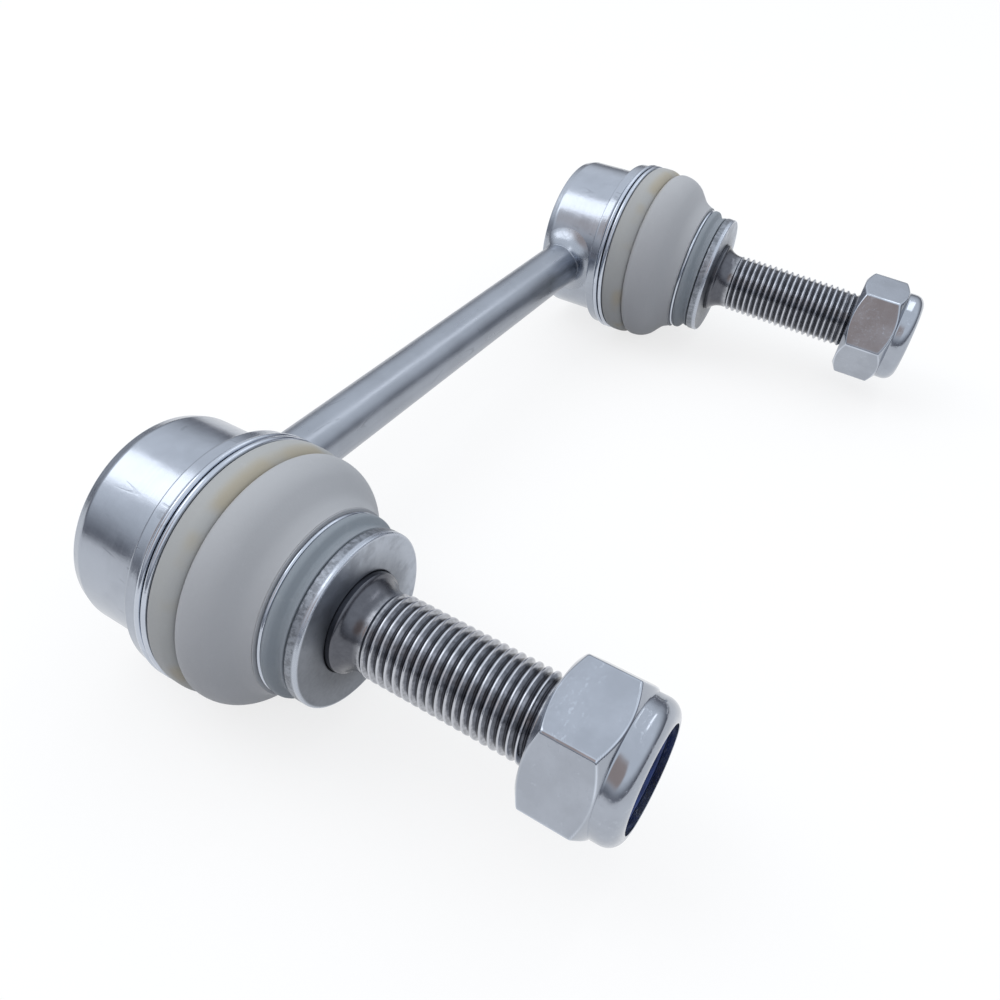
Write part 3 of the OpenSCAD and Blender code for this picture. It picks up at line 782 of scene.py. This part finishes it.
class LINK_OT_studs(bpy.types.Operator):
    """Ball studs, turned in one piece with their collars and rolled threads"""

    bl_idname = "stabilizer_link.studs"
    bl_label = "Ball studs"

    def execute(self, context):
        grid = self.stud()
        finish = stud_finish()
        for end in ENDS:
            add_piece(end + "_threaded_stud", grid, stud_place(end), finish, end + "_stud",
                      end + "_ball_stud", closed=False)
        return {"FINISHED"}

    def stud(self, columns=COARSE, per_pitch=24):
        """Plain section of ball, neck, collar and base turned about the axis, then rows up the
        thread whose radius falls from the crest by the thread's depth, eased in from the relief
        and cut at the tip."""
        s = sizes()
        collar = WASHER.low - s.collar_height
        flat = np.degrees(np.arcsin(STUD.low / s.ball_radius))
        neck = np.degrees(np.arccos(s.neck_radius / s.ball_radius))
        flare = s.collar_radius - s.neck_radius
        base_top = WASHER.high + s.base_stand
        thread = base_top + s.relief
        round_off = s.base_fillet
        drop = round_off - s.base_radius + s.relief_radius
        sweep = np.degrees(np.arccos(drop / round_off))
        fillet = base_top + round_off * np.sin(np.radians(sweep))
        corners = [
            (s.collar_radius - 1 * MM, collar), (s.collar_radius, collar),
            (s.collar_radius, WASHER.low), (s.base_radius, WASHER.low),
            (s.base_radius, base_top), (s.base_radius - 0.2 * MM, base_top + 0.25 * MM),
        ]
        plain = np.concatenate([
            [(0, STUD.low)],
            bow(0, 0, s.ball_radius, s.ball_radius, flat, neck, 36),
            bow(s.collar_radius, collar - flare, -flare, flare, 0, 88, 14),
            softened(corners, [0, 0.2, 0.2, 0.2, 0.08, 0], closed=False),
            bow(s.relief_radius + round_off, fillet, -round_off, -round_off, sweep - 8, 0),
        ])
        run_in, lead_in, tip_cut = 1.2 * MM, 0.8 * MM, 1.2 * MM
        a = full_turn(columns)
        start = fillet + 0.1 * MM
        rows = int((STUD.high - start) / s.pitch * per_pitch)
        height = np.linspace(start, STUD.high, rows)[:, None]
        root = s.thread_radius - THREAD_SHARE * s.pitch
        lead = ease((height - thread - s.grip + lead_in / 2) / lead_in)
        crest = s.thread_radius + (s.lead_radius - s.thread_radius) * lead
        cut = s.thread_radius - tip_cut + (STUD.high - height)
        radius = crest - (crest - root) * thread_depth(a, height, s.pitch)
        radius = s.relief_radius + (radius - s.relief_radius) * ease((height - start) / run_in)
        screw = around(np.minimum(radius, cut), a, height)
        tip = turned(np.array([(3.0 * MM, STUD.high), (0, STUD.high)]), columns)
        return np.concatenate([turned(plain, columns), screw, tip])


def stud_finish():
    """Oiled phosphate, darker on the base and near black in the thread's roots, where that tone is
    also a painted shade between the flanks, and worn bright on the thread's crests."""
    c, s = colours(), sizes()
    f = Finish("oiled_steel", Metallic=1.0)
    own = f.own()
    radius = f.radius(own)
    grain = f.noise(own, 1.2, 5.0, 0.7)
    patch = f.noise(own, 0.22)
    over = s.thread_radius / MM
    deep = (s.thread_radius - THREAD_SHARE * s.pitch) / MM
    root = f.step(radius, deep + 0.02, deep + 0.20)
    crest = f.step(radius, over - 0.15, over - 0.03)
    thread = (WASHER.high + s.base_stand + s.relief) / MM
    taper = f.step(f.part(own, 2), thread - 0.9, thread + 0.5, 1.0, 0.0)
    crest = f.times(crest, f.rest(taper))
    bright = f.times(crest, f.step(patch, 0.25, 0.6, 0.6, 1.0))
    # Painted shade: the thread's roots take the phosphate's near-black tone, for the shade between
    # the flanks as well as the oil.
    oil_and_root_shade = f.tones(grain, c.phosphate, 0.7, 1.6)
    flank = f.tones(f.step(grain, *NOISE_WIDE), c.crest, 0.50, 0.85)
    flank = f.mix(f.times(taper, 0.88), flank, shade(c.phosphate, 1.7))
    steel = f.mix(bright, f.mix(root, oil_and_root_shade, flank), c.crest)
    rough = f.step(f.math("ADD", grain, f.times(bright, -0.25)), 0.0, 0.8, 0.12, 0.27)
    return f.wear(steel, rough, [(grain, 0.02)])


class LINK_OT_washers(bpy.types.Operator):
    """Thick punched washers on the bases of the studs"""

    bl_idname = "stabilizer_link.washers"
    bl_label = "Washers"

    def execute(self, context):
        s = sizes()
        hole, rim = s.base_radius + s.gap, WASHER.radius
        corners = [(hole, WASHER.low), (rim, WASHER.low), (rim, WASHER.high), (hole, WASHER.high)]
        grid = turned(softened(corners, [0.15, 0.5, 0.4, 0.3], steps=8), FINE)
        finish = washer_finish()
        for end in ENDS:
            add_piece(end + "_seat_washer", grid, stud_place(end), finish, end + "_stud",
                      end + "_washer")
        return {"FINISHED"}


def washer_finish():
    """Zinc over punched steel: a grainy sheared rim with a polished edge, and a face that is darker
    towards the stud, and painted lighter on one side and darker on the other as light and shade."""
    zinc = colours().zinc
    f = Finish("punched_zinc", Metallic=1.0)
    own = f.own()
    radius = f.radius(own)
    wide, top = WASHER.radius / MM, WASHER.high / MM
    grains = f.noise(own, (1.8, 1.8, 1.0), 4.0, 0.7)
    cloud = f.noise(own, 0.35, 4.0)
    rim = f.step(radius, wide - 0.5, wide - 0.15)
    torn = f.times(rim, f.step(f.part(own, 2), top - 0.9, top - 0.5, 1.0, 0.0))
    polished = f.math("SUBTRACT", rim, torn)
    inner = f.step(radius, sizes().base_radius / MM, wide - 1.0)
    # Painted light and shade: the face takes a shaded pair of tones on one side and a lit pair on
    # the other, each darker towards the stud.
    shaded_side = f.tones(inner, zinc, 0.28, 0.50)
    lit_side = f.tones(inner, zinc, 0.66, 1.12)
    side = f.math("ADD", f.part(own, 0), f.part(own, 1))
    face = f.mix(f.step(side, -12.0, 12.0), shaded_side, lit_side)
    face = f.mix(f.times(f.step(cloud, 0.45, 0.65), 0.35), face, shade(zinc, 0.44))
    sheared = f.tones(f.step(grains, 0.4, 0.62), zinc, 0.45, 0.80)
    base = f.mix(polished, f.mix(torn, face, sheared), shade(zinc, 1.15))
    rough = f.step(f.math("ADD", grains, f.times(cloud, 0.5)), 0.4, 1.1, 0.32, 0.50)
    rough = f.math("SUBTRACT", rough, f.times(polished, 0.15))
    bite = f.times(grains, f.step(torn, 0.0, 1.0, 0.08, 1.0))
    return f.wear(base, rough, [(bite, 0.08), (cloud, 0.03)])


class LINK_OT_nuts(bpy.types.Operator):
    """Hexagon locknuts with rolled collars, and their nylon inserts"""

    bl_idname = "stabilizer_link.nuts"
    bl_label = "Locknuts"

    def execute(self, context):
        s = sizes()
        zinc, nylon = nut_finish(), nylon_finish()
        for end, turn in zip(ENDS, (s.near_nut_turn, s.far_nut_turn)):
            place = stud_place(end)
            low = self.seat(end, place)
            grid, edge = self.nut(low, turn)
            add_piece(end + "_locknut_body", grid, place, zinc, end + "_locknut",
                      end + "_nut", marks={"edge": edge})
            ring = turned(self.insert(low), COARSE)
            add_piece(end + "_nylon_ring", ring, place, nylon, end + "_insert",
                      end + "_nylon_insert")
        return {"FINISHED"}

    def seat(self, end, place):
        """Height of a nut's bearing face: the middle of its solid's box along the stud, less half
        its height."""
        low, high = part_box(end + "_nut")
        middle = (np.array(low) + np.array(high)) / 2
        return (middle - place.origin) @ place.axes[2] - (NUT.high - NUT.low) / 2

    def nut(self, low, turn, columns=NUT_COLUMNS, soft=110.0):
        """Outside: the inverse power mean of the six flats and of the chamfer cones at both faces,
        so that edges are slightly soft. Then the collar's section turned about the axis, the recess
        of the insert, and a threaded bore that matches the stud's thread. The marks, where the
        nut's finish paints a highlight, are 1 where flats and cones meet and less along the
        corners."""
        s = sizes()
        tall = NUT.high - NUT.low
        apothem = s.across_flats / 2
        a = turn + full_turn(columns)
        facing = np.cos(a[:, None] - turn - np.radians(30 + 60 * np.arange(6)))
        hexagon = apothem * np.sum(np.maximum(facing, 0) ** soft, 1) ** (-1 / soft)
        rise = s.hexagon * (1 - np.cos(np.linspace(0, np.pi, 72)))[:, None] / 2
        low_cone = s.nut_collar + rise / np.tan(s.low_chamfer)
        top_cone = s.nut_collar + (s.hexagon - rise) / np.tan(s.top_chamfer)
        cone = np.minimum(low_cone, top_cone)
        radius = (hexagon**-soft + cone**-soft) ** (-1 / soft)
        corner_from, corner_mark, edge_width = 1.145, 0.8, 0.14 * MM
        corner = hexagon / apothem > corner_from
        meet = np.exp(-(((hexagon - cone) / edge_width) ** 2))
        edge = np.maximum(meet, np.where(corner, corner_mark, 0.0) * (cone > hexagon))
        flats = around(radius, a, rise)
        play, countersink = 0.05 * MM, 0.7 * MM
        insert_low, insert_high = NYLON.low - NUT.low - play, NYLON.high - NUT.low + play
        recess = NYLON.radius + play
        bore = s.thread_radius + BORE_GAP
        bend, bent = s.nut_round, s.nut_collar - s.nut_round
        mouth = [(bent, tall), (s.nut_mouth, tall), (s.nut_mouth, insert_high),
                 (recess, insert_high), (recess, insert_low), (bore, insert_low)]
        top = np.concatenate([
            [(s.nut_collar, s.hexagon + 0.3 * MM)],
            bow(bent, tall - bend, bend, bend, 0, 90, 18),
            softened(mouth, [0, 0.04, 0.1, 0.1, 0.1, 0], closed=False)[1:],
        ])
        down = np.linspace(insert_low - 0.1 * MM, 0.2 * MM, 90)[:, None]
        wall = bore - THREAD_SHARE * s.pitch * thread_depth(a, low + down, s.pitch)
        thread = around(np.maximum(wall, bore + countersink - down), a, down)
        face = np.array([(bore + countersink, 0.0), (s.nut_collar - 0.2 * MM, 0.0)])
        grid = np.concatenate([flats, turned(top, columns), thread, turned(face, columns)])
        marks = np.zeros(grid.shape[:2])
        marks[: len(flats)] = edge
        return grid + [0, 0, low], marks

    def insert(self, low):
        """Rounded ring section of the insert."""
        bottom, top = NYLON.low - NUT.low + low, NYLON.high - NUT.low + low
        bore = sizes().thread_radius + BORE_GAP
        corners = [(bore, bottom), (NYLON.radius, bottom), (NYLON.radius, top), (bore, top)]
        return softened(corners, [0.2, 0.2, 0.3, 0.5])


def nut_finish():
    """Bright zinc on a forged hexagon: soft dents and patches of fine scuffs on the flats, and
    edges made bright in places, as wear and as a painted highlight."""
    zinc = colours().zinc
    f = Finish("forged_zinc", Metallic=1.0)
    own = f.own()
    cloud = f.noise(own, 0.20, 4.0)
    dents = f.noise(own, (0.45, 0.45, 0.3), 2.0)
    patch = f.step(f.noise(own, (0.16, 0.16, 0.2), 2.0), 0.40, 0.56)
    scuffs = f.times(f.step(f.noise(own, (0.9, 2.4, 1.6), 7.0, 0.8), 0.55, 0.65), patch)
    # Painted highlight with wear: the edges where flats meet cones are lightened in patches,
    # standing in for the glint of their rounded edges as well as rubbing.
    glint_and_wear = f.step(f.noise(own, 0.11, 1.0), 0.42, 0.58, 0.3, 1.0)
    edge = f.times(f.own("edge"), glint_and_wear)
    base = f.tones(f.step(cloud, *NOISE_MID), zinc, 0.92, 1.02)
    base = f.mix(f.times(scuffs, 0.5), base, shade(zinc, 1.35))
    base = f.mix(f.times(edge, 0.75), base, shade(zinc, 1.8))
    rough = f.step(f.math("SUBTRACT", cloud, f.times(edge, 0.3)), 0.1, 0.8, 0.09, 0.20)
    return f.wear(base, rough, [(dents, 0.025), (scuffs, 0.004)])


def nylon_finish():
    """Navy nylon with flow clouds and a waxy skin."""
    f = Finish("navy_nylon", Specular_IOR_Level=0.3)
    own = f.own()
    cloud = f.noise(own, (0.4, 0.4, 0.8))
    skin = f.noise(own, 2.0, 4.0)
    base = f.tones(f.step(cloud, 0.35, 0.7), colours().nylon, 1.0, 2.0)
    return f.wear(base, f.step(skin, *NOISE_WIDE, 0.28, 0.45), [(skin, 0.008)])


class LINK_OT_stage(bpy.types.Operator):
    """Pale floor, soft lamps, room light and the camera"""

    bl_idname = "stabilizer_link.stage"
    bl_label = "Stage"

    def execute(self, context):
        scene = context.scene
        scene.view_settings.view_transform = "Standard"
        self.floor()
        self.room(scene)
        self.lamp("back_softbox", (-0.17, 0.42, 0.57), (0.34, 0.50), 0.80)
        self.lamp("side_strip", (0.33, -0.09, 0.50), (0.36, 0.07), 0.13)
        self.camera(scene)
        return {"FINISHED"}

    def floor(self, half=3.0, glow_share=0.76):
        """Flat square a few metres wide, seen as white by the camera and in reflections, apart from
        the link's shadow."""
        corners = half * np.array([[-1, -1, 0], [1, -1, 0], [1, 1, 0], [-1, 1, 0]])
        mesh = bpy.data.meshes.new("floor")
        mesh.from_pydata(corners.tolist(), [], [(0, 1, 2, 3)])
        f = Finish("pale_floor", Roughness=0.9, Specular_IOR_Level=0.1)
        path = f.add("ShaderNodeLightPath").outputs
        seen = f.math("MAXIMUM", path["Is Camera Ray"], path["Is Glossy Ray"])
        seen = f.math("MAXIMUM", seen, path["Is Transmission Ray"])
        f.links.new(f.mix(seen, colours().floor, WHITE), f.shader.inputs["Base Color"])
        glow = f.add("ShaderNodeEmission", {"Color": (*WHITE, 1), "Strength": 1.0})
        both = {0: f.times(seen, glow_share), 1: f.shader.outputs[0], 2: glow.outputs[0]}
        mix = f.add("ShaderNodeMixShader", both)
        f.links.new(mix.outputs[0], f.nodes["Material Output"].inputs["Surface"])
        mesh.materials.append(f.material)
        floor = bpy.data.objects.new("floor", mesh)
        bpy.context.scene.collection.objects.link(floor)

    def room(self, scene):
        """Even room light that fades to a darker horizon, with a dim warm place on the camera's
        side, and white where the camera looks past the floor."""
        stage = scene.link_stage
        world = bpy.data.worlds.new("room")
        scene.world = world
        world.use_nodes = True
        n = Nodes(world.node_tree)
        way = n.add("ShaderNodeTexCoord").outputs["Generated"]
        light = n.mix(n.step(n.part(way, 2), 0.0, 0.60), stage.horizon, stage.sky)
        stand = n.vector("DOT_PRODUCT", way, stage.stand_way)["Value"]
        light = n.mix(n.step(stand, 0.91, 0.975, 0.0, 0.9), light, stage.stand)
        seen = n.add("ShaderNodeLightPath").outputs["Is Camera Ray"]
        back = n.nodes["Background"]
        n.links.new(n.mix(seen, light, WHITE), back.inputs["Color"])
        n.links.new(n.step(seen, 0.0, 1.0, stage.room_light, 1.0), back.inputs["Strength"])

    def lamp(self, name, place, size, power):
        """Oblong soft lamp that faces the middle of the link."""
        data = bpy.data.lights.new(name, "AREA")
        data.shape = "RECTANGLE"
        data.size, data.size_y = size
        data.energy = power
        lamp = bpy.data.objects.new(name, data)
        bpy.context.scene.collection.objects.link(lamp)
        back = np.array(place) - [0, 0, HOUSING.radius]
        back /= np.linalg.norm(back)
        side = np.cross([0, 1, 0.01], back)
        side /= np.linalg.norm(side)
        lamp.matrix_world = self.pose(side, np.cross(back, side), back, place)

    def camera(self, scene):
        """Camera at the place and turn of the photograph's."""
        stage = scene.link_stage
        data = bpy.data.cameras.new("camera")
        data.lens = stage.lens
        data.sensor_width = SENSOR
        data.clip_start = 0.005
        camera = bpy.data.objects.new("camera", data)
        scene.collection.objects.link(camera)
        right, down = np.array(stage.right), np.array(stage.down)
        camera.matrix_world = self.pose(right, -down, -np.cross(right, down), stage.eye)
        scene.camera = camera

    def pose(self, x, y, z, place):
        """Matrix of three axes and a place."""
        turn = np.eye(4)
        turn[:3, :3] = np.stack([x, y, z], 1)
        turn[:3, 3] = place
        return Matrix(turn.tolist())


class LINK_PT_panel(bpy.types.Panel):
    """Lists the pieces of the link and its settings"""

    bl_idname = "LINK_PT_panel"
    bl_label = "Stabilizer Link"
    bl_space_type = "VIEW_3D"
    bl_region_type = "UI"
    bl_category = "Link"

    def draw(self, context):
        scene = context.scene
        for operator in OPERATORS:
            self.layout.operator(operator.bl_idname)
        for group in (scene.link_sizes, scene.link_colours, scene.link_stage):
            box = self.layout.box()
            for name in group.bl_rna.properties.keys():
                if name not in ("rna_type", "name"):
                    box.prop(group, name)


OPERATORS = (LINK_OT_rod, LINK_OT_housings, LINK_OT_rings, LINK_OT_boots, LINK_OT_studs,
             LINK_OT_washers, LINK_OT_nuts, LINK_OT_stage)
CLASSES = (LinkSizes, LinkColours, StageSettings, *OPERATORS, LINK_PT_panel)


def register():
    for cls in CLASSES:
        bpy.utils.register_class(cls)
    bpy.types.Scene.link_sizes = bpy.props.PointerProperty(type=LinkSizes)
    bpy.types.Scene.link_colours = bpy.props.PointerProperty(type=LinkColours)
    bpy.types.Scene.link_stage = bpy.props.PointerProperty(type=StageSettings)


def unregister():
    del bpy.types.Scene.link_stage
    del bpy.types.Scene.link_colours
    del bpy.types.Scene.link_sizes
    for cls in reversed(CLASSES):
        bpy.utils.unregister_class(cls)


def main():
    register()
    bpy.ops.stabilizer_link.rod()
    bpy.ops.stabilizer_link.housings()
    bpy.ops.stabilizer_link.rings()
    bpy.ops.stabilizer_link.boots()
    bpy.ops.stabilizer_link.studs()
    bpy.ops.stabilizer_link.washers()
    bpy.ops.stabilizer_link.nuts()
    bpy.ops.stabilizer_link.stage()


if __name__ == "__main__":
    main()
